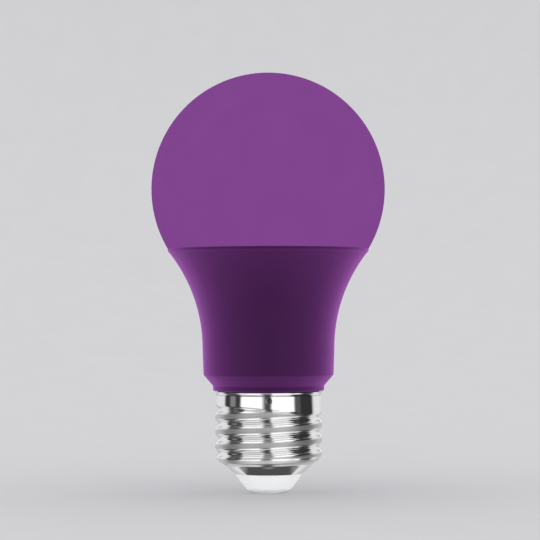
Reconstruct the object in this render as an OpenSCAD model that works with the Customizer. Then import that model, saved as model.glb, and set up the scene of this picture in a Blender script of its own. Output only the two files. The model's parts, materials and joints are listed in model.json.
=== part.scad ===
// Smart LED light bulb with a medium screw cap, modelled piece by piece.
// Millimetres, +Z up along the bulb's axis. The origin is the middle of the
// centre contact's flat bottom, the face that meets the lampholder.

/* [Globe] */
// Outside diameter of the diffuser globe
globe_d = 57.4; // [54:0.1:60]
// Wall thickness of the globe
globe_wall = 1.1; // [0.8:0.1:1.3]

/* [Housing] */
// Height of the seam between globe and housing
seam_z = 59.9; // [58:0.1:64]
// Diameter of the housing at the seam
seam_d = 49.4; // [48.8:0.1:50.4]
// Diameter of the straight part of the housing
body_d = 32.4; // [32:0.1:33]
// Diameter of the short band above the screw shell
collar_d = 27.3; // [27:0.1:28]
// Wall thickness of the housing
housing_wall = 1.5; // [1.3:0.1:1.6]

/* [Screw cap] */
// Diameter over the crests of the screw thread
thread_crest_d = 26.3; // [26.1:0.01:26.4]
// Diameter at the roots of the screw thread
thread_root_d = 24.62; // [24.5:0.01:24.7]
// Pitch of the screw thread, seven turns to the inch
thread_pitch = 3.629; // [3.5:0.001:3.7]
// Height of the top edge of the screw shell
shell_top_z = 24.85; // [24:0.05:26]
// Thickness of the shell's sheet metal
shell_wall = 0.3; // [0.2:0.05:0.3]
// Number of crimp dents round the top of the shell
crimp_count = 4; // [2:2:4]
// Diameter of the centre contact
contact_d = 11; // [9:0.1:11.4]

/* [LED board] */
// Number of places on the outer ring, three of them taken by screws
ring_places = 18; // [15:3:18]
// Number of colour LEDs on the inner half ring
colour_led_count = 5; // [3:1:5]

/* [Hidden] */
$fn = 96;
eps = 0.01;

// Globe
globe_r = globe_d / 2;
seam_r = seam_d / 2;
globe_z = seam_z + sqrt(pow(globe_r, 2) - pow(seam_r, 2));
skirt_in_r = seam_r - 3.1;
skirt_out_r = seam_r - 2.1;
skirt_length = 1.4;

// Housing outline: collar, chamfer, drafted body, one flare arc, rim
collar_r = collar_d / 2;
body_r = body_d / 2;
body_draft = 0.2;
collar_z = shell_top_z + 0.25;
chamfer_z0 = collar_z + 1.15;
chamfer_z1 = chamfer_z0 + 2.75;
flare_z0 = chamfer_z1 + 6.5;
rim_height = 1.1;
rim_slope = 0.5;
edge_break = 0.12;
flare_z1 = seam_z - rim_height;
flare_rise = flare_z1 - flare_z0;
flare_out = seam_r - rim_slope - body_r;
flare_r = (pow(flare_rise, 2) + pow(flare_out, 2)) / (2 * flare_out);
flare_x = body_r + flare_r;
seat_r = skirt_out_r + 0.1;
seat_z = seam_z - 1.7;
ledge_z = chamfer_z1 + 1.8;
ledge_r = 12.9;

// Neck of the housing, inside the screw shell
neck_r = thread_root_d / 2 - shell_wall - 0.16;
neck_bore_r = neck_r - 1.4;
neck_z = 10;

// Height of the flare arc's radius at a height z, for a wall set inwards by inset
function flare_at(z, inset) = flare_x - sqrt(pow(flare_r + inset, 2) - pow(z - flare_z0, 2));

// LED board stack, counted down from the seam
board_t = 1;
led_h = 0.7;
led_board_z = seam_z - 3.05;
led_top_z = led_board_z + board_t;
pad_t = 0.25;
plate_t = 1;
sink_top_z = led_board_z - pad_t;
sink_gap = 0.1;
sink_wall = 1;
led_board_r = flare_at(led_board_z, housing_wall) - 0.35;
pad_r = led_board_r - 0.6;
ring_r = led_board_r - 3.4;
screw_ring_r = led_board_r - 4.4;
colour_ring_r = 11;
screw_count = 3;
screw_r = 1.05;
screw_hole_r = 1.4;
screw_head_r = 2.2;
boss_r = 2.2;
boss_h = 3;

// Driver, on a board that stands in the neck's rails
pcb_t = 1;
pcb_y = 2;
pcb_back = pcb_y - pcb_t / 2;
pcb_front = pcb_y + pcb_t / 2;
pcb_bottom = neck_z + 0.4;
pcb_step = ledge_z + 0.5;
pcb_top = 52;
pcb_narrow = 8.5;
pcb_wide = 12;
lead_r = 0.3;
lead_end = pcb_front + 0.4;
sleeve_out_r = 13.45;
sleeve_in_r = 12.85;

// Small module that carries the radio, parallel to the driver board
module_y = 7.5;
module_t = 0.8;
module_w = 15;
module_z0 = 38.5;
module_h = 26;
slot_w = module_w + 1.4;
slot_y0 = module_y - 0.6;
slot_depth = 2;

// Centre pins that join the driver to the LED board
pin_count = 5;
pin_pitch = 2;
pin_w = 0.5;
pin_y = pcb_back - pin_w / 2;

// Through-hole parts: [x, z] of every lead hole in the driver board
input_cap = [0, -4.6];
output_cap = [-6.6, -4.6];
choke = [-5.5, -3.4];
transformer = [4.6, -4.7, 43.5];
film_cap = [1.5, 32.6];
film_size = [7.5, 4, 5.3];
varistor_at = [4, 28.8];
fuse_at = [7.3, -3.5];
input_lead_z = 11.7;
output_lead_z = 35.2;
choke_lead_z = 26.4;
fuse_lead_z = 23.2;
lead_holes = concat(
    [for (s = [-1, 1]) [input_cap[0] + s * 2.5, input_lead_z]],
    [for (s = [-1, 1]) [output_cap[0] + s * 1.75, output_lead_z]],
    [for (s = [-1, 1]) [choke[0] + s * 1.5, choke_lead_z]],
    [for (x = [-1, 1], z = [-1, 1]) [transformer[0] + x * 2.5, transformer[2] + z * 3.4]],
    [for (x = [1.25, film_size[0] - 1.25]) [film_cap[0] + x, film_cap[1] + film_size[2] / 2]],
    [for (s = [-1, 1]) [varistor_at[0] + s * 2, varistor_at[1] - 1.5]],
    [[fuse_at[0], fuse_lead_z]]
);
header_z = module_z0 + 4.4;
header_pitch = 2.54;

// Screw cap
crest_r = thread_crest_d / 2;
root_r = thread_root_d / 2;
thread_depth = crest_r - root_r;
crest_share = 0.63;
thread_arcs = (pow(thread_depth, 2) + pow(thread_pitch / 2, 2)) / (2 * thread_depth);
crest_arc_r = crest_share * thread_arcs;
root_arc_r = thread_arcs - crest_arc_r;
thread_phase_z = 9.6;
band_r = crest_r - 0.25;
neck_flare_z0 = shell_top_z - 4.4;
neck_flare_z1 = shell_top_z - 3.2;
band_fade_z = shell_top_z - 5;
band_fade_h = 1.1;
band_tilt = 1;
band_neck_r = band_r - shell_wall - 0.1;
lip_h = 0.9;
lip_flare = 0.43;
crimp_z = shell_top_z - 1.95;
crimp_r = 0.8;
crimp_depth = 0.3;
crimp_angles = [for (i = [0 : crimp_count - 1]) 270 + i * 360 / crimp_count];
cone_in_r = 8.4;
cone_in_z = 4.8;
cone_out_r = 10.7;
cone_out_z = 7.05;
step_r = 12.1;
step_z = 7.8;
shoulder_slope = 0.7;
shoulder_round = 0.35;
shoulder_lean = 0.2;
lean_end_z = 10;
shell_sides = 48;
rings_per_pitch = 12;
insulator_gap = 0.1;
insulator_top_z = 8.6;
contact_r = contact_d / 2;
contact_h = 1.15;
contact_edge = 0.15;
contact_flat_r = 2.2;
contact_rise = contact_h - contact_edge;
contact_arc_z = (pow(contact_r, 2) + pow(contact_rise, 2) - pow(contact_flat_r, 2)) / (2 * contact_rise);
contact_arc_r = sqrt(pow(contact_flat_r, 2) + pow(contact_arc_z, 2));
stem_r = 1.2;
stem_bore_r = 0.6;
stem_top_z = 8.4;
wire_r = 0.35;
neutral_angle = 200;
neutral_r = root_r - shell_wall - wire_r - 0.04;

globe_colour = [0.51, 0.27, 0.56];
housing_colour = [0.35, 0.16, 0.39];
copper_colour = [0.75, 0.45, 0.25];

// ---------- Shared shapes ----------

// Half-plane to the right of the axis, between two heights
module window(r, z0, z1) {
    translate([0, z0]) square([r, z1 - z0]);
}

// Region from the axis out to the flare arc, set inwards by inset
module flare_region(inset, z0, z1) {
    difference() {
        window(flare_at(z1, inset) + eps, z0, z1);
        translate([flare_x, flare_z0]) circle(flare_r + inset);
    }
}

// Ring of width w and height h whose outside radius is r
module ring(r, w, z, h) {
    rotate_extrude() translate([r - w, z]) square([w, h]);
}

// Solid box from its lowest corner
module block(at, size) {
    translate(at) cube(size);
}

// Copies of a child on a circle, at the angles listed
module around(r, angles, z = 0) {
    for (a = angles) rotate(a) translate([r, 0, z]) children();
}

// Round wire along corner points in the XY plane, with a bend of one radius at every corner
module flat_wire(path, r, bend) {
    n = len(path);
    runs = [for (i = [0 : n - 2]) path[i + 1] - path[i]];
    headings = [for (d = runs) atan2(d[1], d[0])];
    function turn(i) = let (t = headings[i] - headings[i - 1]) t - 360 * round(t / 360);
    function cut(i) = i > 0 && i < n - 1 ? bend * tan(abs(turn(i)) / 2) : 0;
    for (i = [0 : n - 2]) {
        from = path[i] + runs[i] / norm(runs[i]) * cut(i);
        length = norm(runs[i]) - cut(i) - cut(i + 1);
        translate([from[0], from[1], 0]) rotate([0, 90, headings[i]]) cylinder(r = r, h = length);
    }
    for (i = [1 : n - 2]) {
        side = turn(i) > 0 ? 1 : -1;
        normal = headings[i - 1] + side * 90;
        from = path[i] - runs[i - 1] / norm(runs[i - 1]) * cut(i);
        centre = from + bend * [cos(normal), sin(normal)];
        translate([centre[0], centre[1], 0]) rotate(normal + 180 + min(turn(i), 0))
            rotate_extrude(angle = abs(turn(i))) translate([bend, 0]) circle(r);
    }
}

// The same wire in an upright plane through a point, at angle a round the axis; points are [out, z]
module wire(path, r, at, a, bend) {
    translate([at[0], at[1], 0]) rotate(a) rotate([90, 0, 0]) flat_wire(path, r, bend);
}

// Points of the arc of radius r that rounds the corner b between a and c
function rounded(a, b, c, r, steps = 6) = let (
    u = (a - b) / norm(a - b),
    v = (c - b) / norm(c - b),
    half = acos(u * v) / 2,
    centre = b + (u + v) / norm(u + v) * r / sin(half),
    from = b + u * r / tan(half) - centre,
    to = b + v * r / tan(half) - centre,
    start = atan2(from[1], from[0]),
    turn = atan2(to[1], to[0]) - start,
    sweep = turn - 360 * round(turn / 360)
) [for (i = [0 : steps]) let (t = start + sweep * i / steps) centre + r * [cos(t), sin(t)]];

// ---------- Globe and housing ----------

module diffuser_globe() {
    color(globe_colour) rotate_extrude() {
        difference() {
            translate([0, globe_z]) circle(globe_r);
            translate([0, globe_z]) circle(globe_r - globe_wall);
            translate([-2 * globe_r, globe_z - 2 * globe_r]) square([2 * globe_r, 4 * globe_r]);
            window(2 * globe_r, globe_z - 2 * globe_r, seam_z);
        }
        translate([skirt_in_r, seam_z]) square([seam_r - 0.5 - skirt_in_r, 1.1]);
        translate([skirt_in_r, seam_z - skirt_length])
            square([skirt_out_r - skirt_in_r, skirt_length]);
    }
}

module globe_adhesive() {
    color("whitesmoke") ring(seat_r, 0.8, seat_z, seam_z - skirt_length - seat_z);
}

// Outside of the housing, as a region from the axis outwards
module housing_outline() {
    polygon([
        [0, neck_z], [neck_r, neck_z], [neck_r, neck_flare_z0], [band_neck_r, neck_flare_z1 + 0.15],
        [band_neck_r, collar_z], [0, collar_z]
    ]);
    foot = [collar_r, collar_z];
    neck_edge = [collar_r, chamfer_z0];
    body_edge = [body_r - body_draft, chamfer_z1];
    body_top = [body_r, flare_z0];
    polygon(concat(
        [[0, collar_z]],
        rounded([0, collar_z], foot, neck_edge, 0.25),
        rounded(foot, neck_edge, body_edge, 0.5),
        rounded(neck_edge, body_edge, body_top, 0.8),
        [body_top, [0, flare_z0]]
    ));
    flare_region(0, flare_z0, flare_z1);
    rim = [seam_r - rim_slope, flare_z1];
    polygon(concat(
        [[0, flare_z1], rim],
        rounded(rim, [seam_r, seam_z - rim_height / 2], [seam_r, seam_z], 0.6),
        [[seam_r, seam_z - edge_break], [seam_r - edge_break, seam_z], [0, seam_z]]
    ));
}

module housing_cavity() {
    inner_collar_r = collar_r - housing_wall;
    inner_body_r = body_r - housing_wall;
    polygon([
        [0, neck_z - 1], [neck_bore_r, neck_z - 1], [neck_bore_r, collar_z - 1],
        [inner_collar_r, collar_z + 0.6], [inner_collar_r, chamfer_z0 + 0.5],
        [inner_body_r - body_draft, chamfer_z1 + 0.5], [inner_body_r - body_draft, ledge_z - 0.8],
        [ledge_r, ledge_z - 0.8], [ledge_r, ledge_z], [inner_body_r, ledge_z],
        [inner_body_r, flare_z0], [0, flare_z0]
    ]);
    flare_region(housing_wall, flare_z0, seat_z + eps);
    window(seat_r, seat_z, seam_z + 1);
}

// Pairs of ribs that hold the edges of the driver board
module board_rails() {
    rib_t = 0.9;
    slack = 0.1;
    for (side = [-1, 1], y = [pcb_back - slack - rib_t, pcb_front + slack])
        block([side > 0 ? 7.8 : -neck_bore_r - 0.3, y, neck_z + 0.2],
              [neck_bore_r + 0.3 - 7.8, rib_t, collar_z - neck_z - 2]);
}

// Path of the neutral lead: [start in plan, direction in plan]
neutral_start = [-6, pcb_back - wire_r - 0.02];
neutral_end = neutral_r * [cos(neutral_angle), sin(neutral_angle)];
neutral_run = norm(neutral_end - neutral_start);
neutral_turn = atan2(neutral_end[1] - neutral_start[1], neutral_end[0] - neutral_start[0]);

module housing() {
    color(housing_colour) difference() {
        union() {
            rotate_extrude() difference() {
                housing_outline();
                housing_cavity();
            }
            board_rails();
        }
        // Notch and groove that lead the neutral wire out to the screw shell
        translate([neutral_start[0], neutral_start[1], neck_z - 1]) rotate(neutral_turn)
            block([2.5, -0.6, 0], [8, 1.2, 2.6]);
        rotate(neutral_angle) translate([neutral_r, 0, neck_z - 1])
            cylinder(r = wire_r + 0.1, h = 12);
        // Pockets that the shell is crimped into
        around(band_neck_r - 0.4, crimp_angles, crimp_z)
            rotate([0, 90, 0]) cylinder(r = crimp_r + 0.5, h = 1);
    }
}

// ---------- Heat sink and LED board ----------

screw_angles = [for (i = [0 : screw_count - 1]) 90 + i * 360 / screw_count];
ring_step = 360 / ring_places;
places_per_screw = ring_places / screw_count;
warm_angles = [for (i = [0 : ring_places - 1]) if (i % places_per_screw % 2 == 1) 90 + i * ring_step];
cool_angles = [for (i = [0 : ring_places - 1])
    if (i % places_per_screw > 0 && i % places_per_screw % 2 == 0) 90 + i * ring_step];
colour_angles = [for (i = [0 : colour_led_count - 1]) 180 + i * 180 / (colour_led_count - 1)];
led_window = [2.9, 2.2];
led_size = [3.5, 2.8];
led_floor = 0.25;

// Opening for the radio module, and the one for the centre pins
module stack_openings(z, h, pins_w, pins_d) {
    block([-slot_w / 2, slot_y0, z], [slot_w, slot_depth, h]);
    block([-pins_w / 2, pin_y - pins_d / 2, z], [pins_w, pins_d, h]);
}

module heat_sink() {
    inset = housing_wall + sink_gap;
    tube_r = body_r - inset;
    color("silver") difference() {
        union() {
            rotate_extrude() {
                translate([tube_r - sink_wall, ledge_z]) square([sink_wall, flare_z0 - ledge_z]);
                difference() {
                    flare_region(inset, flare_z0, sink_top_z);
                    flare_region(inset + sink_wall, flare_z0 - eps, sink_top_z - plate_t);
                }
            }
            around(screw_ring_r, screw_angles, sink_top_z - plate_t - boss_h)
                cylinder(r = boss_r, h = boss_h + plate_t / 2);
        }
        stack_openings(sink_top_z - 2, 3, 14, 4.2);
        around(screw_ring_r, screw_angles, sink_top_z - plate_t - boss_h - 1)
            cylinder(r = screw_r + 0.05, h = boss_h + plate_t + 2);
    }
}

module thermal_pad() {
    color("lightsteelblue") difference() {
        translate([0, 0, sink_top_z]) cylinder(r = pad_r, h = pad_t);
        stack_openings(sink_top_z - 1, 2, 14, 4.2);
        around(screw_ring_r, screw_angles, sink_top_z - 1) cylinder(r = screw_head_r, h = 2);
    }
}

module led_board() {
    color("white") difference() {
        translate([0, 0, led_board_z]) cylinder(r = led_board_r, h = board_t);
        stack_openings(led_board_z - 1, 3, pin_count * pin_pitch, 1.6);
        around(screw_ring_r, screw_angles, led_board_z - 1) cylinder(r = screw_hole_r, h = 3);
    }
}

module led_frame() {
    difference() {
        translate([-led_size[0] / 2, -led_size[1] / 2, 0]) cube([led_size[0], led_size[1], led_h]);
        translate([-led_window[0] / 2, -led_window[1] / 2, led_floor])
            cube([led_window[0], led_window[1], led_h]);
    }
}

module led_fill() {
    translate([-led_window[0] / 2, -led_window[1] / 2, led_floor])
        cube([led_window[0], led_window[1], led_h - led_floor]);
}

module led_packages() {
    color("ivory") {
        around(ring_r, concat(warm_angles, cool_angles), led_top_z) led_frame();
        around(colour_ring_r, colour_angles, led_top_z) led_frame();
    }
}

module warm_phosphors() {
    color("orange") around(ring_r, warm_angles, led_top_z) led_fill();
}

module cool_phosphors() {
    color("khaki") around(ring_r, cool_angles, led_top_z) led_fill();
}

module colour_lenses() {
    color("plum") around(colour_ring_r, colour_angles, led_top_z) led_fill();
}

// Pan-head screw with a cross recess, standing on z = 0 with its shank below
module pan_screw() {
    head_h = 1.4;
    shank = board_t + pad_t + plate_t + boss_h - 0.5;
    difference() {
        union() {
            rotate_extrude() difference() {
                window(screw_head_r, 0, head_h);
                translate([screw_head_r - 0.5, head_h - 0.5]) difference() {
                    square(1);
                    circle(0.5);
                }
            }
            translate([0, 0, -shank]) cylinder(r = screw_r, h = shank + 0.2);
        }
        for (a = [0, 90]) rotate(a) translate([-1.3, -0.25, head_h - 0.7]) cube([2.6, 0.5, 1]);
    }
}

module board_screws() {
    color("gainsboro") around(screw_ring_r, screw_angles, led_top_z) pan_screw();
}

// Children at each centre pin
module at_pins() {
    for (i = [0 : pin_count - 1]) translate([(i - (pin_count - 1) / 2) * pin_pitch, pin_y, 0]) children();
}

module pin_bar(z0, z1, w) {
    translate([-w / 2, -w / 2, z0]) cube([w, w, z1 - z0]);
}

socket_h = 2.2;

module led_socket() {
    w = pin_count * pin_pitch + 2;
    color("white") difference() {
        block([-w / 2, pin_y - 1.4, led_top_z], [w, 2.8, socket_h]);
        at_pins() pin_bar(led_top_z - 1, led_top_z + socket_h + 1, pin_w + 0.1);
    }
}

module driver_pins() {
    color("gold") at_pins() pin_bar(pcb_top - 4, led_top_z + socket_h - 0.3, pin_w);
}

module pin_block() {
    w = pin_count * pin_pitch + 0.4;
    color("dimgray") difference() {
        block([-w / 2, pcb_back - 2, pcb_top - 3], [w, 2, 2.5]);
        at_pins() pin_bar(pcb_top - 5, pcb_top + 2, pin_w + 0.04);
    }
}

// ---------- Driver ----------

module driver_sleeve() {
    color("antiquewhite")
        ring(sleeve_out_r, sleeve_out_r - sleeve_in_r, ledge_z, sink_top_z - plate_t - 0.7 - ledge_z);
}

module driver_board() {
    color("darkgreen") difference() {
        union() {
            block([-pcb_narrow, pcb_back, pcb_bottom], [2 * pcb_narrow, pcb_t, pcb_step - pcb_bottom + 1]);
            block([-pcb_wide, pcb_back, pcb_step], [2 * pcb_wide, pcb_t, pcb_top - pcb_step]);
        }
        for (p = lead_holes) translate([p[0], pcb_back - 1, p[1]])
            rotate([-90, 0, 0]) cylinder(r = lead_r + 0.1, h = 3);
        at_header() block([-0.37, -0.37, pcb_back - 1], [0.74, 0.74, 3]);
    }
}

// Can of an electrolytic capacitor: rolled groove near the foot, rounded edges
module capacitor_can(r, h) {
    groove = 0.4;
    edge = 0.6;
    rotate_extrude() difference() {
        union() {
            window(r, edge, h - edge);
            window(r - edge, 0, h);
            for (z = [edge, h - edge]) translate([r - edge, z]) circle(edge);
        }
        translate([r, 2]) circle(groove);
        translate([-edge - r, -1]) square([edge + r, h + 2]);
        window(r - 1.2, h - 0.2, h + 1);
    }
}

module input_capacitor() {
    color("midnightblue") translate([input_cap[0], input_cap[1], 12.5]) capacitor_can(5, 12.5);
}

module output_capacitor() {
    color("midnightblue") translate([output_cap[0], output_cap[1], 36]) capacitor_can(4, 11.5);
}

// Bare aluminium discs on the two cans, with a scored cross
module capacitor_tops() {
    module top(r) {
        difference() {
            cylinder(r = r, h = 0.3);
            for (a = [45, 135]) rotate(a) translate([-r * 0.7, -0.15, 0.2]) cube([r * 1.4, 0.3, 1]);
        }
    }
    color("silver") {
        translate([input_cap[0], input_cap[1], 12.5 + 12.5 - 0.2]) top(3.8);
        translate([output_cap[0], output_cap[1], 36 + 11.5 - 0.2]) top(2.8);
    }
}

core_size = [9.8, 4.6, 10.4];
core_leg = 1.2;
core_yoke = 1.6;
core_gap = 0.1;

module transformer_core() {
    window_w = (core_size[0] - 4 * core_leg) / 2;
    window_h = core_size[2] - 2 * core_yoke;
    color("dimgray") translate(transformer) difference() {
        cube(core_size, center = true);
        for (s = [-1, 1]) translate([s * (core_leg + window_w / 2), 0, 0])
            cube([window_w, core_size[1] + 2, window_h], center = true);
    }
}

tube_in = [2 * core_leg + 2 * core_gap, core_size[1] + 2 * core_gap];
tube_out = [tube_in[0] + 0.9, tube_in[1] + 0.9];
flange = [7.2, 8.4, 0.7];

module transformer_bobbin() {
    color("black") translate(transformer) difference() {
        union() {
            for (z = [-1, 1]) translate([0, 0, z * 3.2]) cube(flange, center = true);
            cube([tube_out[0], tube_out[1], 6.4], center = true);
        }
        cube([tube_in[0], tube_in[1], 12], center = true);
    }
}

module transformer_winding() {
    r = 1.2;
    color("goldenrod") translate(transformer) difference() {
        translate([0, 0, -2.85]) linear_extrude(5.7) union() {
            square([6.8, 7.8 - 2 * r], center = true);
            square([6.8 - 2 * r, 7.8], center = true);
            for (x = [-1, 1], y = [-1, 1]) translate([x * (3.4 - r), y * (3.9 - r)]) circle(r);
        }
        cube([tube_out[0], tube_out[1], 12], center = true);
    }
}

module drum_choke() {
    color("darkslategray") translate([choke[0], choke[1], 27.2]) rotate_extrude() difference() {
        window(3, 0, 7);
        translate([3.6, 3.5]) circle(1.6);
    }
}

module film_capacitor() {
    e = 0.5;
    color("firebrick") translate([film_cap[0], pcb_back - 0.7, film_cap[1]]) rotate([90, 0, 0])
        linear_extrude(film_size[1]) union() {
            translate([e, 0]) square([film_size[0] - 2 * e, film_size[2]]);
            translate([0, e]) square([film_size[0], film_size[2] - 2 * e]);
            for (x = [e, film_size[0] - e], z = [e, film_size[2] - e]) translate([x, z]) circle(e);
        }
}

module varistor() {
    color("royalblue") translate([varistor_at[0], pcb_back - 1.3, varistor_at[1]]) rotate([90, 0, 0])
        rotate_extrude() difference() {
            window(3.5, 0, 3.4);
            for (z = [0, 3.4]) translate([3.5, z]) rotate(45) square(1.2, center = true);
        }
}

module bridge_rectifier() {
    color("black") translate([0, pcb_front, 18]) {
        block([-2.35, 0.1, -1.9], [4.7, 2.3, 3.8]);
        for (x = [-1.27, 1.27], z = [-1, 1])
            block([x - 0.35, 0, z > 0 ? 1.9 : -2.9], [0.7, 0.5, 1]);
    }
}

// Small outline chip with four legs a side, lying on y = 0
module chip(w, h) {
    block([-w / 2, 0.1, -h / 2], [w, 1.4, h]);
    for (i = [-1.5 : 1.5], side = [-1, 1])
        block([i * 1.1 - 0.2, 0, side > 0 ? h / 2 : -h / 2 - 0.9], [0.4, 0.5, 0.9]);
}

module control_chips() {
    color("black") for (at = [[-7.2, 47.6], [-6, 31.5], [5.5, 31.2]])
        translate([at[0], pcb_front, at[1]]) chip(4.9, 3.9);
}

module chip_part(size) {
    block([-size[0] / 2, 0, -size[1] / 2], [size[0], size[2], size[1]]);
}

module chip_resistors() {
    color("black") for (at = [[-6.5, 13], [-6.5, 15.5], [6.5, 13], [6.5, 15.5], [-4, 24], [-1, 24], [2, 24]])
        translate([at[0], pcb_front, at[1]]) chip_part([2, 1.25, 0.55]);
}

module chip_capacitors() {
    color("burlywood") for (at = [[-5.5, 27.5], [-2.5, 27.5], [0.5, 27.5], [0, 34.5], [0, 47]])
        translate([at[0], pcb_front, at[1]]) chip_part([2, 1.25, 0.9]);
}

// Wire legs of the through-hole parts, bent back to the board
module component_leads() {
    module legs(x, z_top, y, z_board, spread) {
        for (s = [-1, 1])
            wire([[y, z_top], [y, z_board], [lead_end, z_board]], lead_r, [x + s * spread, 0], 90, 0.5);
    }
    module pins(points, y0) {
        for (p = points) translate([p[0], y0, p[1]]) rotate([-90, 0, 0])
            cylinder(r = lead_r, h = lead_end - y0);
    }
    film_z = film_cap[1] + film_size[2] / 2;
    color("lightgray") {
        legs(input_cap[0], 12.5, input_cap[1], input_lead_z, 2.5);
        legs(output_cap[0], 36, output_cap[1], output_lead_z, 1.75);
        legs(choke[0], 27.2, choke[1], choke_lead_z, 1.5);
        pins([for (x = [-1, 1], z = [-1, 1]) [transformer[0] + x * 2.5, transformer[2] + z * 3.4]],
             transformer[1] + flange[1] / 2);
        pins([for (x = [1.25, film_size[0] - 1.25]) [film_cap[0] + x, film_z]], pcb_back - 0.7);
        pins([for (s = [-1, 1]) [varistor_at[0] + s * 2, varistor_at[1] - 1.5]], pcb_back - 1.3);
        wire([[fuse_at[1], 22], [fuse_at[1], fuse_lead_z], [lead_end, fuse_lead_z]], lead_r,
             [fuse_at[0], 0], 90, 0.5);
    }
}

module fuse_resistor() {
    color("seagreen") translate([fuse_at[0], fuse_at[1], 14]) rotate_extrude() {
        window(1.2, 0, 8);
        window(1.5, 0.6, 2.2);
        window(1.5, 5.8, 7.4);
    }
}

// ---------- Radio module ----------

module at_header() {
    for (i = [-2 : 2]) translate([i * header_pitch, 0, header_z]) rotate([-90, 0, 0]) children();
}

module wifi_board() {
    color("teal") difference() {
        block([-module_w / 2, module_y, module_z0], [module_w, module_t, module_h]);
        at_header() block([-0.37, -0.37, module_y - 1], [0.74, 0.74, 3]);
    }
}

module wifi_shield() {
    y0 = module_y + module_t;
    size = [12, 2.2, 9.5];
    z0 = module_z0 + 5.5;
    wall = 0.2;
    color("silver") difference() {
        block([-size[0] / 2, y0, z0], size);
        block([-size[0] / 2 + wall, y0 - 1, z0 + wall],
              [size[0] - 2 * wall, size[1] + 1 - wall, size[2] - 2 * wall]);
    }
}

// Printed meander at the module's free end
module wifi_antenna() {
    trace = 0.5;
    step = 1.3;
    rise = 3.4;
    turns = 8;
    x0 = -turns * step / 2;
    z0 = module_z0 + module_h - rise - 0.8;
    color(copper_colour) translate([0, module_y + module_t + 0.06, 0]) rotate([90, 0, 0])
        linear_extrude(0.06) {
            for (i = [0 : turns]) translate([x0 + i * step, z0]) square([trace, rise]);
            for (i = [0 : turns - 1])
                translate([x0 + i * step, i % 2 ? z0 : z0 + rise - trace]) square([step + trace, trace]);
            translate([x0, z0 - 3]) square([trace, 3 + eps]);
        }
}

module module_header() {
    w = 5 * header_pitch;
    color("black") difference() {
        block([-w / 2, pcb_front, header_z - 1.27], [w, 2.5, 2.54]);
        at_header() block([-0.34, -0.34, pcb_front - 1], [0.68, 0.68, 5]);
    }
}

module module_pins() {
    color("gold") at_header()
        block([-0.32, -0.32, pcb_back - 0.5], [0.64, 0.64, module_y + module_t + 0.8 - pcb_back + 0.5]);
}

// ---------- Wires to the cap ----------

module live_lead() {
    reach = norm(fuse_at);
    color("firebrick") wire([[reach, 14], [reach, 9.7], [0, 9.7], [0, 6.5]],
        wire_r, [0, 0], atan2(fuse_at[1], fuse_at[0]), 1);
}

module neutral_lead() {
    run_z = neck_z + 0.8;
    color("silver") wire([[0, 14.5], [0, run_z], [neutral_run, run_z], [neutral_run, 19]],
        wire_r, neutral_start, neutral_turn, 1);
}

// ---------- Screw cap ----------

// White plug that keeps the centre contact apart from the screw shell
module cap_insulator() {
    plug_r = cone_in_r - insulator_gap;
    color("white") rotate_extrude() polygon([
        [stem_r + 0.05, contact_h], [contact_r + 0.1, contact_h], [contact_r + 0.45, contact_h + 0.35],
        [plug_r - 1.1, contact_h + 1.95], [plug_r, cone_in_z - 0.05], [plug_r, cone_in_z + 0.5],
        [cone_out_r - 0.5, cone_out_z + 0.3], [cone_out_r - 0.1, cone_out_z + 0.9],
        [cone_out_r - 0.1, insulator_top_z], [stem_r + 0.05, insulator_top_z]
    ]);
}

module centre_contact() {
    color("gainsboro") {
        rotate_extrude() difference() {
            union() {
                intersection() {
                    window(contact_r, 0, contact_rise);
                    translate([0, contact_arc_z]) circle(contact_arc_r);
                }
                window(contact_r, contact_rise, contact_h);
                window(stem_r, contact_h - eps, stem_top_z);
            }
            window(stem_bore_r, 2.5, stem_top_z + 1);
        }
    }
}

// Radius of the rolled thread at u from a crest: a wide crest arc that runs into a tighter root arc
function thread_r(u) = abs(u) <= crest_share * thread_pitch / 2
    ? crest_r - crest_arc_r + sqrt(pow(crest_arc_r, 2) - pow(u, 2))
    : root_r + root_arc_r - sqrt(pow(root_arc_r, 2) - pow(thread_pitch / 2 - abs(u), 2));

// Distance along the axis from the nearest crest of the right-hand thread
function crest_offset(a, z) =
    let (t = (z - thread_phase_z) / thread_pitch - a / 360) (t - round(t)) * thread_pitch;

function smoothstep(t) = let (c = min(max(t, 0), 1)) c * c * (3 - 2 * c);

// Depth of the crimp dents at angle a and height z
function crimp(a, z) = let (
    step = 360 / crimp_count,
    off = (a - crimp_angles[0]) / step,
    across = (off - round(off)) * step * PI / 180 * band_r,
    near = 1 - (pow(across, 2) + pow(z - crimp_z, 2)) / pow(crimp_r, 2)
) crimp_depth * max(0, near);

// The lesser of two radii, rounded where they cross
function soft_min(a, b, round) = min(a, b) - pow(max(round - abs(a - b), 0), 2) / (4 * round);

// The thread runs out into the shoulder, which leans with it; nothing leans above lean_end_z
function lean(a) = shoulder_lean * cos(a);

function leaning_z(a, z) = z + lean(a) * min(max((lean_end_z - z) / (lean_end_z - step_z), 0), 1);

// Outside radius of the shell at angle a and height z, from the shoulder up; the plain band has a tilted foot
function shell_r(a, z) = let (
    threaded = thread_r(crest_offset(a, z)),
    shoulder = step_r + shoulder_slope * (z - step_z - lean(a)),
    blend = smoothstep((z - band_fade_z + band_tilt * cos(a)) / band_fade_h),
    lip = lip_flare * pow(max(0, (z - shell_top_z + lip_h) / lip_h), 2)
) soft_min(threaded, shoulder, shoulder_round) * (1 - blend) + band_r * blend + lip - crimp(a, z);

shell_step = thread_pitch / rings_per_pitch;
shell_heights = concat(
    [for (z = [step_z : shell_step : band_fade_z + band_tilt + band_fade_h]) z],
    [for (d = [-crimp_r, -crimp_r / 2, 0, crimp_r / 2, crimp_r]) crimp_z + d],
    [shell_top_z - lip_h, shell_top_z - 0.6, shell_top_z - 0.3, shell_top_z]
);

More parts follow.
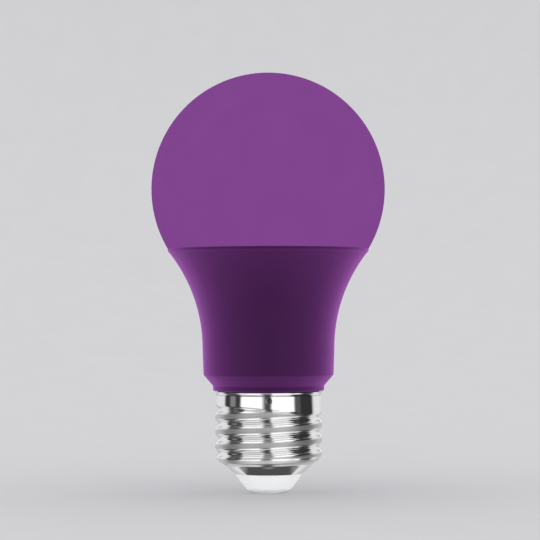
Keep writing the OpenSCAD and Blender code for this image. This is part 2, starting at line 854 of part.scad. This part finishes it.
module screw_shell() {
    lift = shell_wall * sqrt(2);
    angles = [for (i = [0 : shell_sides - 1]) 360 * i / shell_sides];
    function round_ring(r, z, leans = 0) = [for (a = angles)
        let (d = leans * lean(a)) [(r + d) * cos(a), (r + d) * sin(a), z + d]];
    function wall_ring(level, inset) = [for (a = angles)
        let (z = leaning_z(a, level), r = shell_r(a, z) - inset) [r * cos(a), r * sin(a), z]];
    top_down = [for (i = [len(shell_heights) - 1 : -1 : 1]) shell_heights[i]];
    rings = concat(
        [round_ring(cone_in_r, cone_in_z), round_ring(cone_out_r, cone_out_z, 1)],
        [for (z = shell_heights) wall_ring(z, 0)],
        [for (z = top_down) wall_ring(z, shell_wall)],
        [round_ring(cone_out_r, cone_out_z + lift, 1), round_ring(cone_in_r, cone_in_z + lift)]
    );
    count = len(rings);
    faces = [for (i = [0 : count - 1], s = [0 : shell_sides - 1]) let (
        j = (i + 1) % count, t = (s + 1) % shell_sides
    ) [i * shell_sides + s, j * shell_sides + s, j * shell_sides + t, i * shell_sides + t]];
    color("silver") polyhedron([for (r = rings, p = r) p], faces, convexity = 10);
}

diffuser_globe();
globe_adhesive();
housing();
heat_sink();
thermal_pad();
led_board();
led_packages();
warm_phosphors();
cool_phosphors();
colour_lenses();
board_screws();
led_socket();
driver_pins();
pin_block();
driver_sleeve();
driver_board();
input_capacitor();
output_capacitor();
capacitor_tops();
transformer_core();
transformer_bobbin();
transformer_winding();
drum_choke();
film_capacitor();
varistor();
bridge_rectifier();
control_chips();
chip_resistors();
chip_capacitors();
component_leads();
fuse_resistor();
wifi_board();
wifi_shield();
wifi_antenna();
module_header();
module_pins();
live_lead();
neutral_lead();
cap_insulator();
centre_contact();
screw_shell();
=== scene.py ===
"""The looks of the smart light bulb: materials, a fine screw shell, a plain pale studio and a camera.

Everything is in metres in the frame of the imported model: +Z up the bulb's axis, the centre contact on z = 0.
"""

import json
import math

import bpy
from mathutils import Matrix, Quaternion, Vector


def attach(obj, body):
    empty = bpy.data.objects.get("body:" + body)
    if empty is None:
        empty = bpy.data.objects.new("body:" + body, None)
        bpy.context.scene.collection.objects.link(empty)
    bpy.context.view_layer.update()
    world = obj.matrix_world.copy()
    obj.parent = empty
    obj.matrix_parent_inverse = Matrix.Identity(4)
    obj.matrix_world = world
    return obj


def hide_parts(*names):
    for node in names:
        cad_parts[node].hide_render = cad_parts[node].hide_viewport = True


MM = 0.001

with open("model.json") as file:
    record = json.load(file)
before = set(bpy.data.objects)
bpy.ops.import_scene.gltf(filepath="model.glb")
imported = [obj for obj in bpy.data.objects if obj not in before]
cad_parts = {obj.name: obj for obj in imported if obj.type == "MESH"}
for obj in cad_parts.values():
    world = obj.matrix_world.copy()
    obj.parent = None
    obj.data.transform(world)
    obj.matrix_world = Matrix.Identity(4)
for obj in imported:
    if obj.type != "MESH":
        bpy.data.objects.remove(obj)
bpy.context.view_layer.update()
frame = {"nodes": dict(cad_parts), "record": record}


# ---------- Materials ----------


class Nodes:
    """A material's node tree, with short ways to add and join nodes."""

    def __init__(self, name):
        self.material = bpy.data.materials.new(name)
        self.material.use_nodes = True
        self.tree = self.material.node_tree
        self.shader = self.tree.nodes["Principled BSDF"]
        self.place = self.add("ShaderNodeTexCoord").outputs["Object"]

    def add(self, kind, **settings):
        node = self.tree.nodes.new(kind)
        for key, value in settings.items():
            setattr(node, key, value)
        return node

    def join(self, output, socket):
        self.tree.links.new(output, socket)

    def stretched(self, scale):
        """Object coordinates, stretched by a scale for each axis."""
        mapping = self.add("ShaderNodeMapping")
        mapping.inputs["Scale"].default_value = scale
        self.join(self.place, mapping.inputs["Vector"])
        return mapping.outputs["Vector"]

    def noise(self, grain, stretch=(1, 1, 1), detail=3.0):
        """Noise whose features are about grain metres across."""
        node = self.add("ShaderNodeTexNoise")
        node.inputs["Scale"].default_value = 1 / grain
        node.inputs["Detail"].default_value = detail
        self.join(self.stretched(stretch), node.inputs["Vector"])
        return node.outputs["Fac"]

    def spread(self, value, low, high):
        """Maps noise onto the range from low to high."""
        node = self.add("ShaderNodeMapRange")
        node.inputs["From Min"].default_value = 0.3
        node.inputs["From Max"].default_value = 0.7
        node.inputs["To Min"].default_value = low
        node.inputs["To Max"].default_value = high
        self.join(value, node.inputs["Value"])
        return node.outputs["Result"]

    def tint(self, value, first, second):
        """Blends two colours by noise."""
        node = self.add("ShaderNodeMix", data_type="RGBA")
        node.inputs["A"].default_value = (*first, 1)
        node.inputs["B"].default_value = (*second, 1)
        self.join(self.spread(value, 0, 1), node.inputs["Factor"])
        return node.outputs["Result"]

    def bump(self, height, depth):
        """Surface relief of the depth given, in metres."""
        node = self.add("ShaderNodeBump")
        node.inputs["Distance"].default_value = depth
        self.join(height, node.inputs["Height"])
        self.join(node.outputs["Normal"], self.shader.inputs["Normal"])

    def set(self, **sockets):
        for key, value in sockets.items():
            socket = self.shader.inputs[key.replace("_", " ")]
            socket.default_value = (*value, 1) if isinstance(value, tuple) else value


def shade(colour, factor):
    return tuple(min(c * factor, 1.0) for c in colour)


def surface(name, colour, roughness, metallic=0.0, grain=0.4 * MM, relief=0.004 * MM,
            variation=0.06, stretch=(1, 1, 1), tone=1.0, **sockets):
    """A plain material with a little variation in colour, gloss and height."""
    nodes = Nodes(name)
    colour = shade(colour, tone)
    grains = nodes.noise(grain, stretch)
    clouds = nodes.noise(8 * grain, stretch)
    mottle = nodes.tint(clouds, shade(colour, 1 - variation), shade(colour, 1 + variation))
    nodes.join(mottle, nodes.shader.inputs["Base Color"])
    nodes.join(nodes.spread(clouds, roughness * 0.88, roughness * 1.12), nodes.shader.inputs["Roughness"])
    nodes.bump(grains, relief)
    nodes.set(Metallic=metallic, **sockets)
    return nodes.material


def lit_diffuser():
    """Milky globe lit from inside: its own violet light, with a satin skin over it."""
    nodes = Nodes("lit_diffuser")
    clouds = nodes.noise(9 * MM, detail=1.0)
    glow = nodes.tint(clouds, (0.203, 0.0545, 0.254), (0.208, 0.056, 0.260))
    nodes.join(glow, nodes.shader.inputs["Emission Color"])
    nodes.set(Emission_Strength=1.0)
    nodes.join(nodes.tint(clouds, (0.012, 0.0032, 0.015), (0.014, 0.0037, 0.017)),
               nodes.shader.inputs["Base Color"])
    nodes.join(nodes.spread(nodes.noise(2 * MM), 0.34, 0.40), nodes.shader.inputs["Roughness"])
    nodes.bump(nodes.noise(0.25 * MM), 0.002 * MM)
    nodes.set(Specular_IOR_Level=0.0)
    return nodes.material


def housing_plastic():
    """Satin purple plastic whose fine texture catches light towards its edges."""
    nodes = Nodes("housing_plastic")
    clouds = nodes.noise(6 * MM, detail=2.0)
    nodes.join(nodes.tint(clouds, (0.0195, 0.0036, 0.026), (0.0215, 0.0040, 0.028)),
               nodes.shader.inputs["Base Color"])
    nodes.join(nodes.spread(nodes.noise(3 * MM), 0.42, 0.50), nodes.shader.inputs["Roughness"])
    nodes.bump(nodes.noise(0.22 * MM, detail=2.0), 0.006 * MM)
    nodes.set(Specular_IOR_Level=0.06, Sheen_Weight=1.0, Sheen_Roughness=0.6,
              Sheen_Tint=(0.56, 0.118, 0.70))
    return nodes.material


def plated_metal():
    """Bright nickel plate: rubbed dull on the crests, with painted shade darkening the dents and the fold
    under the lip, and marks of drawing round it.
    """
    nodes = Nodes("plated_metal")
    wear_and_shade = nodes.add("ShaderNodeVertexColor", layer_name="wear_and_shade")
    parts = nodes.add("ShaderNodeSeparateColor")
    nodes.join(wear_and_shade.outputs["Color"], parts.inputs["Color"])
    wear, painted_shade = parts.outputs["Red"], parts.outputs["Green"]
    clouds = nodes.noise(5 * MM, detail=2.0)
    colour = nodes.tint(clouds, (0.90, 0.90, 0.905), (0.94, 0.94, 0.94))
    # Wear greys the crests; painted shade darkens the dents and the fold under the lip nearly to black
    for amount, tone in ((wear, CREST_TONE), (painted_shade, PAINTED_SHADE_TONE)):
        layer = nodes.add("ShaderNodeMix", data_type="RGBA")
        layer.inputs["B"].default_value = (*tone, 1)
        nodes.join(amount, layer.inputs["Factor"])
        nodes.join(colour, layer.inputs["A"])
        colour = layer.outputs["Result"]
    nodes.join(colour, nodes.shader.inputs["Base Color"])
    marks = nodes.noise(0.5 * MM, stretch=(0.15, 0.15, 3), detail=4.0)
    dull = nodes.add("ShaderNodeMapRange")
    dull.inputs["To Min"].default_value = 0.0
    dull.inputs["To Max"].default_value = CREST_DULLNESS
    nodes.join(wear, dull.inputs["Value"])
    rough = nodes.add("ShaderNodeMath", operation="ADD")
    nodes.join(nodes.spread(marks, 0.04, 0.09), rough.inputs[0])
    nodes.join(dull.outputs["Result"], rough.inputs[1])
    nodes.join(rough.outputs["Value"], nodes.shader.inputs["Roughness"])
    nodes.bump(nodes.noise(2.2 * MM, stretch=(1, 1, 2), detail=2.0), 0.008 * MM)
    nodes.set(Metallic=1.0)
    return nodes.material


def laminate(name, colour):
    """Circuit board: solder mask over a glass weave, with copper tracks that show through as paler lines."""
    nodes = Nodes(name)
    weave = nodes.add("ShaderNodeTexWave", wave_type="BANDS", bands_direction="DIAGONAL")
    weave.inputs["Scale"].default_value = 1 / (0.9 * MM)
    nodes.join(nodes.place, weave.inputs["Vector"])
    tracks = nodes.add("ShaderNodeTexBrick", offset=0.37, squash=1.6, squash_frequency=3)
    for key, value in (("Scale", 1 / (6 * MM)), ("Mortar Size", 0.035), ("Mortar Smooth", 0.2),
                       ("Color1", (*colour, 1)), ("Color2", (*shade(colour, 0.93), 1)),
                       ("Mortar", (*shade(colour, 1.7), 1))):
        tracks.inputs[key].default_value = value
    turned = nodes.add("ShaderNodeMapping")
    turned.inputs["Rotation"].default_value = (math.radians(90), 0, 0)
    nodes.join(nodes.place, turned.inputs["Vector"])
    nodes.join(turned.outputs["Vector"], tracks.inputs["Vector"])
    nodes.join(tracks.outputs["Color"], nodes.shader.inputs["Base Color"])
    nodes.join(nodes.spread(nodes.noise(2 * MM), 0.28, 0.38), nodes.shader.inputs["Roughness"])
    nodes.bump(weave.outputs["Fac"], 0.006 * MM)
    return nodes.material


def wound_tape(name, colour):
    """Winding under several turns of glossy tape, with the edges of the turns showing."""
    nodes = Nodes(name)
    turns = nodes.add("ShaderNodeTexWave", wave_type="BANDS", bands_direction="Z", wave_profile="SAW")
    turns.inputs["Scale"].default_value = 1 / (8 * MM)
    turns.inputs["Distortion"].default_value = 0.4
    nodes.join(nodes.place, turns.inputs["Vector"])
    nodes.join(nodes.tint(turns.outputs["Fac"], shade(colour, 0.82), shade(colour, 1.08)),
               nodes.shader.inputs["Base Color"])
    nodes.join(nodes.spread(nodes.noise(1 * MM), 0.16, 0.28), nodes.shader.inputs["Roughness"])
    nodes.bump(turns.outputs["Fac"], 0.03 * MM)
    return nodes.material


# How each simple material differs from a plain satin one
FINISHES = {
    "adhesive": dict(roughness=0.32, grain=1.5 * MM, relief=0.03 * MM, Subsurface_Weight=0.3),
    "pressed_aluminium": dict(roughness=0.34, metallic=1.0, stretch=(1, 1, 0.15), relief=0.006 * MM),
    "thermal_rubber": dict(roughness=0.78, grain=0.3 * MM, relief=0.01 * MM),
    "white_board": dict(roughness=0.38, grain=0.8 * MM, variation=0.03),
    "led_body": dict(roughness=0.42, grain=0.2 * MM),
    "warm_phosphor": dict(roughness=0.22, grain=0.08 * MM, variation=0.12, Subsurface_Weight=0.2),
    "cool_phosphor": dict(roughness=0.22, grain=0.08 * MM, variation=0.12, Subsurface_Weight=0.2),
    "colour_lens": dict(roughness=0.08, variation=0.03, Transmission_Weight=0.6),
    "screw_steel": dict(roughness=0.30, metallic=1.0, stretch=(1, 1, 4)),
    "white_connector": dict(roughness=0.36, grain=0.3 * MM),
    "black_connector": dict(roughness=0.44, grain=0.2 * MM, variation=0.15),
    "gold_pins": dict(roughness=0.20, metallic=1.0, stretch=(1, 1, 0.2)),
    "sleeve_film": dict(roughness=0.26, grain=2.5 * MM, relief=0.02 * MM, Transmission_Weight=0.35),
    "capacitor_sleeve": dict(roughness=0.20, grain=1.2 * MM, relief=0.012 * MM, variation=0.12),
    "capacitor_can": dict(roughness=0.28, metallic=1.0, grain=0.3 * MM),
    "ferrite": dict(roughness=0.72, grain=0.12 * MM, relief=0.012 * MM, variation=0.2),
    "bobbin_plastic": dict(roughness=0.46, grain=0.25 * MM, variation=0.15),
    "film_capacitor_case": dict(roughness=0.24, grain=0.9 * MM, relief=0.015 * MM, variation=0.1),
    "varistor_coating": dict(roughness=0.34, grain=0.35 * MM, relief=0.02 * MM, variation=0.12),
    "chip_epoxy": dict(roughness=0.62, grain=0.1 * MM, relief=0.006 * MM, variation=0.2),
    "resistor_ceramic": dict(roughness=0.40, grain=0.15 * MM, variation=0.2),
    "capacitor_ceramic": dict(roughness=0.48, grain=0.15 * MM, variation=0.1),
    "tinned_wire": dict(roughness=0.26, metallic=1.0, grain=0.3 * MM, variation=0.08),
    "fuse_lacquer": dict(roughness=0.30, grain=0.5 * MM, relief=0.02 * MM, variation=0.1),
    "shield_steel": dict(roughness=0.30, metallic=1.0, stretch=(0.15, 1, 1), relief=0.004 * MM),
    "antenna_copper": dict(roughness=0.34, metallic=1.0, grain=0.2 * MM),
    "wire_insulation": dict(roughness=0.42, grain=0.3 * MM, relief=0.008 * MM),
    "white_insulator": dict(roughness=0.30, grain=1.2 * MM, relief=0.003 * MM, variation=0.015,
                            tone=1.2),
    "contact_plating": dict(roughness=0.40, metallic=0.3, grain=0.6 * MM, relief=0.008 * MM, tone=1.25),
}
MADE = {
    "diffuser": lambda colour: lit_diffuser(),
    "housing_plastic": lambda colour: housing_plastic(),
    "driver_laminate": lambda colour: laminate("driver_laminate", colour),
    "module_laminate": lambda colour: laminate("module_laminate", colour),
    "winding_tape": lambda colour: wound_tape("winding_tape", colour),
    "plated_shell": lambda colour: None,
}


def dress_frame():
    """Gives every CAD part the material of its slot, in the record's colour; the shell comes later."""
    slots = {entry["slot"]: tuple(entry["base_color"]) for entry in frame["record"]["materials"]}
    made = {}
    for part in frame["record"]["subparts"]:
        slot = part["material_slot"]
        if slot not in made:
            colour = slots[slot]
            made[slot] = MADE[slot](colour) if slot in MADE else surface(slot, colour, **FINISHES[slot])
        if made[slot]:
            for holder in frame["nodes"][part["node"]].material_slots:
                holder.material = made[slot]


def hide_from_metal(*nodes):
    """Keeps the parts round the shell out of its reflections."""
    for node in nodes:
        frame["nodes"][node].visible_glossy = False


dress_frame()
hide_from_metal("diffuser_globe", "housing", "cap_insulator")


# ---------- Screw shell ----------

# The shell's sizes are in millimetres. Thread:
CREST_R = 13.15
ROOT_R = 12.31
PITCH = 3.629
CREST_SHARE = 0.63
ARCS = ((CREST_R - ROOT_R) ** 2 + (PITCH / 2) ** 2) / (2 * (CREST_R - ROOT_R))
CREST_ARC = CREST_SHARE * ARCS
ROOT_ARC = ARCS - CREST_ARC
PHASE_Z = 9.6
SHEET = 0.3
# Plain band above the thread, with its tilted foot, its flared lip and its dents
TOP_Z = 24.85
EDGE = 0.08
BAND_R = CREST_R - 0.25
BAND_FADE_Z = TOP_Z - 5.0
BAND_FADE_H = 1.1
BAND_TILT = 1.0
BAND_TAPER = 0.045
LIP_H = 0.9
LIP_FLARE = 0.43
CRIMP_Z = TOP_Z - 1.95
CRIMP_R = 0.8
CRIMP_DEPTH = 0.14
CRIMP_ANGLES = (-90, 0, 90, 180)
# Cone under the thread, as (radius, height), and the leaning shoulder between them
CONE_IN = (8.4, 4.8)
CONE_OUT = (10.7, 7.05)
CONE_BULGE = 0.05
STEP = (12.1, 7.8)
SHOULDER_SLOPE = 0.7
SHOULDER_ROUND = 0.35
SHOULDER_LEAN = 0.2
LEAN_END_Z = 10
# Dull wear down from the crests and over the shoulder, and painted shade in the fold under the lip
RUB_DEPTH = 0.17
RUB_FADE = 0.09
RUB_START_Z = STEP[1] + 1.05
SHOULDER_WEAR = 0.8
SHOULDER_WEAR_Z = (STEP[1] - 0.35, STEP[1] + 0.95)
FOLD_Z = TOP_Z - LIP_H + 0.1
FOLD_PAINTED_SHADE = 0.55
CREST_DULLNESS = 0.36
CREST_TONE = (0.64, 0.64, 0.64)
# Colour of the painted shade in the dents and in the fold under the lip
PAINTED_SHADE_TONE = (0.10, 0.10, 0.10)


def smooth(t):
    t = min(max(t, 0.0), 1.0)
    return t * t * (3 - 2 * t)


def thread_radius(angle, z):
    """Radius of the rolled thread: a wide crest arc that runs into a tighter root arc."""
    turns = (z - PHASE_Z) / PITCH - angle / 360
    off = abs(turns - round(turns)) * PITCH
    if off <= CREST_SHARE * PITCH / 2:
        return CREST_R - CREST_ARC + math.sqrt(CREST_ARC ** 2 - off ** 2)
    return ROOT_R + ROOT_ARC - math.sqrt(ROOT_ARC ** 2 - (PITCH / 2 - off) ** 2)


def crimp_depth(angle, z):
    """Depth of the nearest crimp dent."""
    nearest = min(abs((angle - a + 180) % 360 - 180) for a in CRIMP_ANGLES)
    across = math.radians(nearest) * BAND_R
    away = math.hypot(across, z - CRIMP_Z) / CRIMP_R
    return CRIMP_DEPTH * smooth(1.1 * (1 - away))


def lean(angle):
    """The thread runs out into the shoulder, which leans with it."""
    return SHOULDER_LEAN * math.cos(math.radians(angle))


def leaning_z(angle, z):
    return z + lean(angle) * min(max((LEAN_END_Z - z) / (LEAN_END_Z - STEP[1]), 0.0), 1.0)


def band_share(angle, z):
    """How far the thread has run out into the plain band, from 0 to 1; the band's foot is tilted."""
    return smooth((z - BAND_FADE_Z + BAND_TILT * math.cos(math.radians(angle))) / BAND_FADE_H)


def shell_radius(angle, z):
    """Outside radius of the shell, in mm, from its shoulder up to its lip."""
    radius = thread_radius(angle, z)
    shoulder = STEP[0] + SHOULDER_SLOPE * (z - STEP[1] - lean(angle))
    rounding = max(SHOULDER_ROUND - abs(radius - shoulder), 0.0) ** 2 / (4 * SHOULDER_ROUND)
    radius = min(radius, shoulder) - rounding
    share = band_share(angle, z)
    lip = LIP_FLARE * max(0.0, (z - TOP_Z + LIP_H) / LIP_H) ** 2
    band = BAND_R + BAND_TAPER * (CRIMP_Z - z)
    return radius * (1 - share) + band * share + lip - crimp_depth(angle, z)


def wear_and_shade_at(angle, z):
    """Wear of the crests, and painted shade in the dents and under the lip, each from 0 to 1."""
    rubbed = smooth((thread_radius(angle, z) - CREST_R + RUB_DEPTH) / RUB_FADE)
    rubbed *= smooth(1 - 3 * band_share(angle, z)) * smooth((z - RUB_START_Z) / 0.4)
    foot, top = SHOULDER_WEAR_Z
    shoulder = SHOULDER_WEAR * smooth((top - z) / 0.3) * smooth((z - foot) / 0.1)
    nearest = min(abs((angle - a + 180) % 360 - 180) for a in CRIMP_ANGLES)
    away = math.hypot(math.radians(nearest) * BAND_R, z - CRIMP_Z) / CRIMP_R
    fold = abs(z - FOLD_Z) / 0.16
    # The second value is painted shade, darkest in the dents and in the fold under the lip
    return max(rubbed, shoulder), max(smooth(2.5 * (1.05 - away)), FOLD_PAINTED_SHADE * smooth(1 - fold))


def steps(start, end, size):
    """Values from start to end, both included, about size apart."""
    count = max(1, round((end - start) / size))
    return [start + (end - start) * i / count for i in range(count + 1)]


def shell_angles():
    """Angles round the shell, closer together at the dents."""
    near = math.degrees(1.3 * CRIMP_R / BAND_R)
    angles = []
    for a in CRIMP_ANGLES:
        angles += steps(a - near, a + near, 0.55)[:-1]
        angles += steps(a + near, a + 90 - near, 1.6)[:-1]
    return sorted((a + 360) % 360 for a in angles)


def cone_point(angle, t):
    """A point of the cone's slightly rounded outside, for t from 0 at its hole to 1 at the step."""
    bulge = CONE_BULGE * 4 * t * (1 - t) / math.sqrt(2)
    rise = lean(angle) * t
    return (CONE_IN[0] + (CONE_OUT[0] - CONE_IN[0]) * t + rise + bulge,
            CONE_IN[1] + (CONE_OUT[1] - CONE_IN[1]) * t + rise - bulge)


def wall_point(angle, level, inset=0.0):
    """A point of the wall above the step, moved in from the outside by inset."""
    z = leaning_z(angle, level)
    return shell_radius(angle, z) - inset, z


def shell_rings():
    """For every ring, up the outside and down the inside, a function from angle to (radius, height)."""
    body = steps(STEP[1], CRIMP_Z - CRIMP_R, 0.12)
    crimp = steps(CRIMP_Z - CRIMP_R, CRIMP_Z + CRIMP_R, 0.1)[1:]
    top = steps(CRIMP_Z + CRIMP_R, TOP_Z - EDGE, 0.11)[1:]
    outside = body + crimp + top
    inside = [z for i, z in enumerate(reversed(outside)) if i % 3 == 0 and z > STEP[1] + 0.2]
    lift = SHEET * math.sqrt(2)
    rings = [lambda a, t=t: cone_point(a, t) for t in steps(0, 1, 0.08)]
    rings += [lambda a, t=t: tuple(c + (w - c) * t for c, w in zip(cone_point(a, 1), wall_point(a, STEP[1])))
              for t in (0.06, 0.5, 0.94)]
    rings += [lambda a, z=z: wall_point(a, z) for z in outside]
    rings += [lambda a, inset=inset: (shell_radius(a, TOP_Z) - inset, TOP_Z) for inset in (EDGE, SHEET)]
    rings += [lambda a, z=z: wall_point(a, z, SHEET) for z in inside]
    rings += [lambda a, t=t: (cone_point(a, t)[0], cone_point(a, t)[1] + lift) for t in (1, 0.5, 0)]
    return rings


def screw_shell():
    """The rolled sheet-metal shell as one closed quad mesh."""
    angles = shell_angles()
    rings = shell_rings()
    points, wear_and_shade = [], []
    for ring in rings:
        for a in angles:
            r, z = ring(a)
            t = math.radians(a)
            points.append((r * math.cos(t) * MM, r * math.sin(t) * MM, z * MM))
            wear_and_shade += [*wear_and_shade_at(a, z), 0.0, 1.0]
    n = len(angles)
    faces = []
    for i in range(len(rings)):
        j = (i + 1) % len(rings)
        for s in range(n):
            t = (s + 1) % n
            faces.append((i * n + s, i * n + t, j * n + t, j * n + s))
    mesh = bpy.data.meshes.new("fine_screw_shell")
    mesh.from_pydata(points, [], faces)
    mesh.polygons.foreach_set("use_smooth", [True] * len(faces))
    mesh.color_attributes.new("wear_and_shade", "FLOAT_COLOR", "POINT").data.foreach_set("color", wear_and_shade)
    shell = bpy.data.objects.new("fine_screw_shell", mesh)
    bpy.context.scene.collection.objects.link(shell)
    mesh.materials.append(plated_metal())
    mesh.set_sharp_from_angle(angle=math.radians(40))
    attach(shell, "root")
    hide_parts("screw_shell")
    return shell


screw_shell()


# ---------- Studio ----------


def lathe(name, profile, segments):
    """A surface turned round the Z axis from (radius, height) points."""
    n = len(profile)
    points = []
    for s in range(segments):
        t = 2 * math.pi * s / segments
        points += [(r * math.cos(t), r * math.sin(t), z) for r, z in profile]
    faces = []
    for s in range(segments):
        t = (s + 1) % segments
        faces += [(s * n + i, t * n + i, t * n + i + 1, s * n + i + 1) for i in range(n - 1)]
    mesh = bpy.data.meshes.new(name)
    mesh.from_pydata(points, [], faces)
    mesh.polygons.foreach_set("use_smooth", [True] * len(faces))
    made = bpy.data.objects.new(name, mesh)
    bpy.context.scene.collection.objects.link(made)
    return made


def seen_only_by(made, camera=False, glossy=False):
    made.visible_camera = camera
    made.visible_glossy = glossy
    made.visible_diffuse = False
    made.visible_transmission = False
    made.visible_volume_scatter = False
    made.visible_shadow = False


def floor():
    """Pale floor that turns up into a round backdrop, with no edge from any side."""
    flat, curve = 1.0, 0.8
    profile = [(r, 0.0) for r in (0.0005, 0.05, 0.2, 0.5)]
    profile += [(flat + curve * math.sin(t), curve * (1 - math.cos(t)))
                for t in (math.radians(a) for a in range(0, 91, 6))]
    profile += [(flat + curve, curve + 2.0)]
    made = lathe("studio_floor", profile, 96)
    seen_only_by(made, camera=True)
    made.data.materials.append(surface("studio_paper", (0.56, 0.56, 0.575), 0.9, grain=3 * MM,
                                       relief=0.0, variation=0.01, Specular_IOR_Level=0.0))


# What the plated metal mirrors, as soft-edged cards, each over those before it. The angles are in degrees,
# across from the camera's side to the right, and up from the horizon:
# (from, to, bottom, top, brightness, softness across, softness up)
WHITE = 1.12
CARDS = (
    # Studio behind, seen at the edges of the cap
    (114, 246, -75, 34, 0.80, 10, 12),
    # Walls in front and behind
    (-70, -4, -48, 48, 0.47, 16, 16), (-4, 60, -48, 48, 0.68, 16, 16), (150, 210, -48, 48, 0.55, 16, 16),
    # Dark rims of the side windows
    (104, 134, 31, 60, 0.09, 14, 12), (104, 134, -52, -27, 0.08, 14, 12),
    (226, 256, 31, 60, 0.09, 14, 12), (226, 256, -52, -27, 0.08, 14, 12),
    # Dark cards at both sides
    (-112, -62, -50, 50, 0.07, 12, 14), (48, 113, -46, 56, 0.03, 14, 14),
    # Bright slot in front and a fainter one behind, at the height of the cap
    (-63, 58, -1, 10, 1.15, 9, 5), (150, 210, -1, 10, 0.90, 9, 5),
    # Fittings inside the cards
    (-106, -93, -10, 14, 0.04, 6, 10), (-92, -77, -10, 14, 0.23, 8, 10), (-76, -65.5, -10, 14, 0.04, 9, 10),
    (60, 73, -10, 14, 0.09, 8, 10),
    # The camera and its stand, and a stand behind
    (-13, 6, -75, 90, 0.27, 8, 10), (-8, 4, -66, 14, 0.06, 7, 20), (176, 185, -70, 30, 0.10, 5, 20),
)
# How much the cards in front narrow towards 40 degrees up or down
CARD_BOW = 0.2
# Dark card on the floor under the bulb, a painted reflection of the floor shaded by the bulb, by tangents of
# the angle from straight down: back and to the sides
HORIZON_DIP = -0.3
FLOOR_CARD = (-0.045, 0.75)
FLOOR_CARD_SIDE = 0.62
FLOOR_CARD_LEVEL = 0.075
FLOOR_CARD_SOFT = (0.16, 0.32)


DOME_R = 3.0
DOME_TOP = 89.9
DOME_SEGMENTS = 480


def within(at, start, end, soft):
    """1 inside a range, 0 outside it, with soft ends."""
    return smooth((at - start) / soft + 0.5) * smooth((end - at) / soft + 0.5)


def mirrored(direction):
    """Brightness that a glossy surface sees in a direction."""
    x, y, z = direction
    elevation = math.degrees(math.asin(max(-1.0, min(1.0, z))))
    azimuth = math.degrees(math.atan2(x, -y))
    bow = 1 - CARD_BOW * (elevation / 40) ** 2
    value = WHITE
    for start, end, bottom, top, level, across, up in CARDS:
        for turn in (0, 360):
            at = azimuth + turn
            at = at * bow if abs(at) < 100 else at
            value += (level - value) * within(at, start, end, across) * within(elevation, bottom, top, up)
    # Below the horizon: the dark floor card, a painted reflection of the shaded floor under the bulb
    if z < HORIZON_DIP:
        inside = within(-y / z, *FLOOR_CARD, FLOOR_CARD_SOFT[0])
        inside *= within(abs(x / z), -1, FLOOR_CARD_SIDE, FLOOR_CARD_SOFT[1])
        value += (FLOOR_CARD_LEVEL - value) * inside
    return value


def reflection_dome():
    """Soft boxes and dark cards round the bulb, which only glossy surfaces see."""
    profile = [(DOME_R * math.cos(math.radians(e)), DOME_R * math.sin(math.radians(e)))
               for e in steps(-DOME_TOP, DOME_TOP, 1.2)]
    dome = lathe("reflection_dome", profile, DOME_SEGMENTS)
    seen_only_by(dome, glossy=True)
    colours = dome.data.color_attributes.new("card", "FLOAT_COLOR", "POINT")
    for point, colour in zip(dome.data.vertices, colours.data):
        level = mirrored(point.co.normalized())
        colour.color = (level, level, level, 1)
    material = bpy.data.materials.new("reflection_cards")
    material.use_nodes = True
    material.cycles.emission_sampling = "NONE"
    tree = material.node_tree
    tree.nodes.clear()
    card = tree.nodes.new("ShaderNodeVertexColor")
    card.layer_name = "card"
    light = tree.nodes.new("ShaderNodeEmission")
    output = tree.nodes.new("ShaderNodeOutputMaterial")
    tree.links.new(card.outputs["Color"], light.inputs["Color"])
    tree.links.new(light.outputs["Emission"], output.inputs["Surface"])
    dome.data.materials.append(material)


def soft_world():
    """Even soft light from every side, a little weaker from below."""
    world = bpy.data.worlds.new("soft_world")
    world.use_nodes = True
    tree = world.node_tree
    place = tree.nodes.new("ShaderNodeTexCoord")
    height = tree.nodes.new("ShaderNodeSeparateXYZ")
    ramp = tree.nodes.new("ShaderNodeMapRange")
    ramp.interpolation_type = "SMOOTHSTEP"
    for key, value in (("From Min", -0.85), ("From Max", 0.1), ("To Min", 0.63), ("To Max", 1.17)):
        ramp.inputs[key].default_value = value
    tree.links.new(place.outputs["Generated"], height.inputs["Vector"])
    tree.links.new(height.outputs["Z"], ramp.inputs["Value"])
    tree.links.new(ramp.outputs["Result"], tree.nodes["Background"].inputs["Strength"])
    tree.nodes["Background"].inputs["Color"].default_value = (1, 1, 1, 1)
    bpy.context.scene.world = world


CAMERA_X = 0.42 * MM
CAMERA_DISTANCE = 0.5535
CAMERA_Z = 0.044
TARGET_Z = 0.0547
CAMERA_ROLL = -0.15


def camera():
    """A long lens at the height of the housing, tilted up a little."""
    data = bpy.data.cameras.new("camera")
    data.sensor_width = 36
    data.lens = 150
    made = bpy.data.objects.new("camera", data)
    bpy.context.scene.collection.objects.link(made)
    place = Vector((CAMERA_X, -CAMERA_DISTANCE, CAMERA_Z))
    target = Vector((CAMERA_X, 0, TARGET_Z))
    roll = Quaternion((0, 0, 1), math.radians(CAMERA_ROLL))
    made.location = place
    made.rotation_euler = ((target - place).to_track_quat("-Z", "Y") @ roll).to_euler()
    bpy.context.scene.camera = made


floor()
reflection_dome()
soft_world()
camera()
bpy.context.scene.view_settings.view_transform = "Standard"
